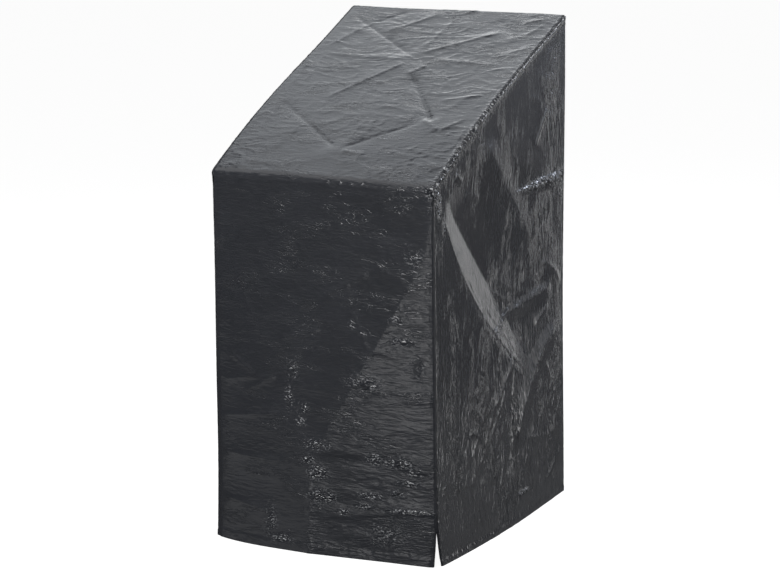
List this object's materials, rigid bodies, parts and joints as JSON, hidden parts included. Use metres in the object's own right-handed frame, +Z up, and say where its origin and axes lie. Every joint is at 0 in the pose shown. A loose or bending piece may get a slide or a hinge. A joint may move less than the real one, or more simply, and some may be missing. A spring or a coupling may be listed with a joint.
{
  "type": "stacking chair cover",
  "caption": "Fitted weatherproof cloth cover for stacked garden armchairs, with a sloping top, open hem and a short corner vent.",
  "frame": {"origin": "middle of the cover's footprint at the level of the hem", "axes": "+Z up, the front faces -Y, +X to the right of someone facing the front"},
  "size_m": [0.7089, 0.8526, 1.3484],
  "materials": {
    "coated_cloth": "dark grey polyethylene-coated woven cloth with a soft gloss and fine creases"
  },
  "bodies": {
    "root": {"front_top_back_panel": "coated_cloth", "right_side_panel": "coated_cloth", "left_side_panel": "coated_cloth"}
  },
  "joints": []
}
